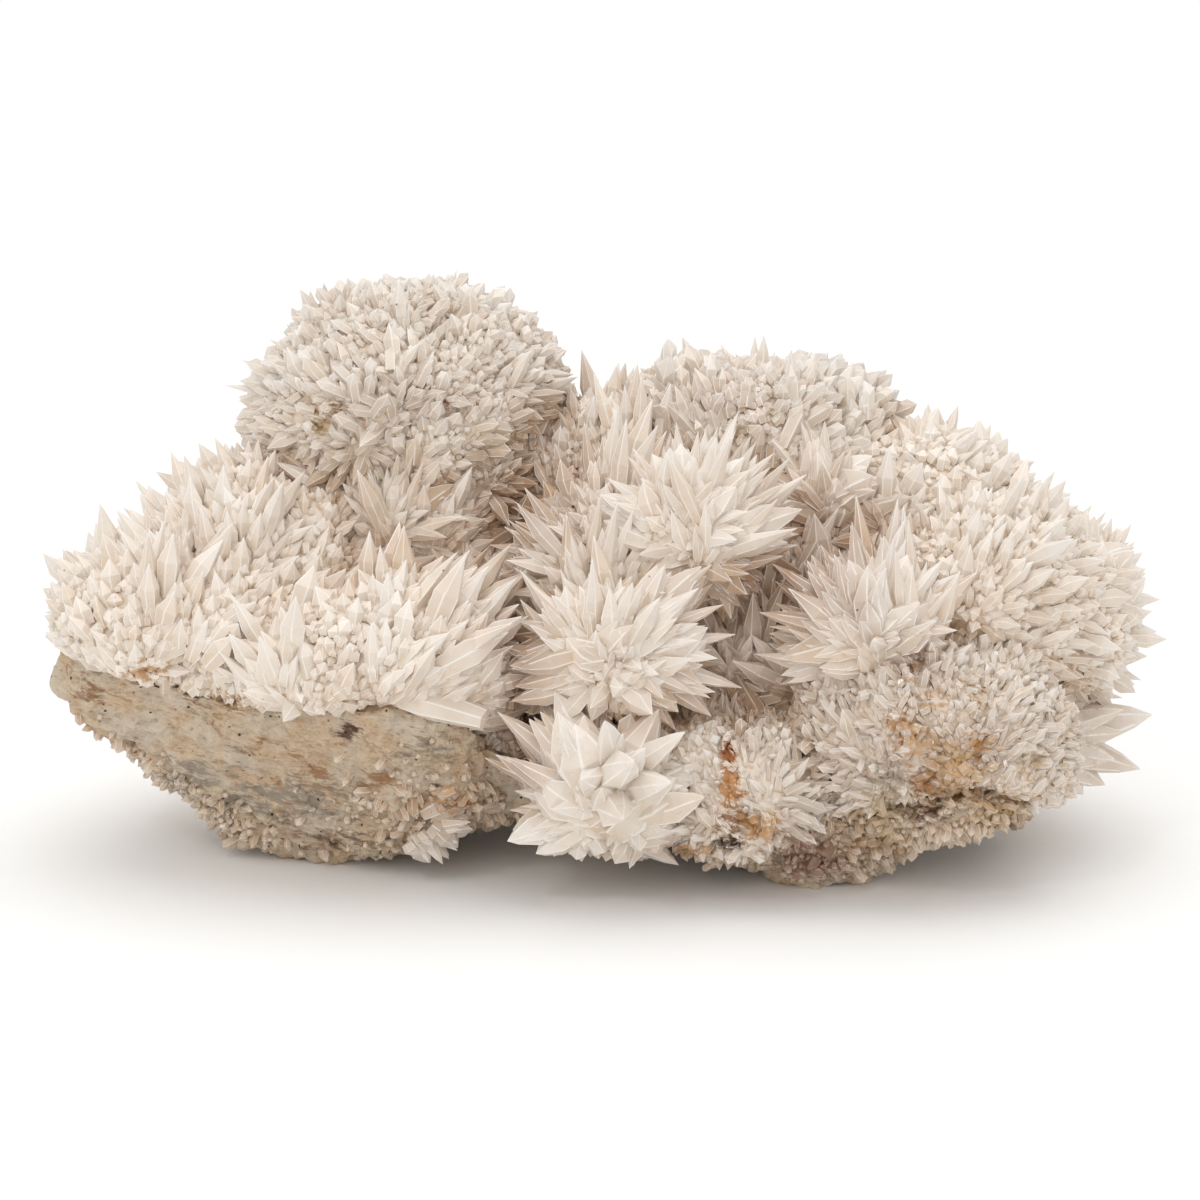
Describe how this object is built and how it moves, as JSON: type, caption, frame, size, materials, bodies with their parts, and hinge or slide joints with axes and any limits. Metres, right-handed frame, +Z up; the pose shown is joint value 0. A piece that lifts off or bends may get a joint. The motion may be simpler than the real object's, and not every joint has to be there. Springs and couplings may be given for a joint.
{
  "type": "calcite crystal cluster",
  "caption": "Wide lumpy cluster of milky white dogtooth calcite crystals in radiating sprays, grown on a thin broken tan crust and resting on three small flat spots.",
  "frame": {"origin": "under the middle of the specimen's bounding box, on the surface that it stands on", "axes": "+X to the right in the front view, along the specimen's length; -Y is the front; +Z is up"},
  "size_m": [0.26, 0.148, 0.1343],
  "materials": {
    "calcite": "milky, slightly see-through crystal with glassy to frosted faces",
    "matrix": "rough broken crust, tan with grey and rusty brown stains"
  },
  "bodies": {
    "root": {"crystals": "calcite", "matrix": "matrix"}
  },
  "joints": []
}
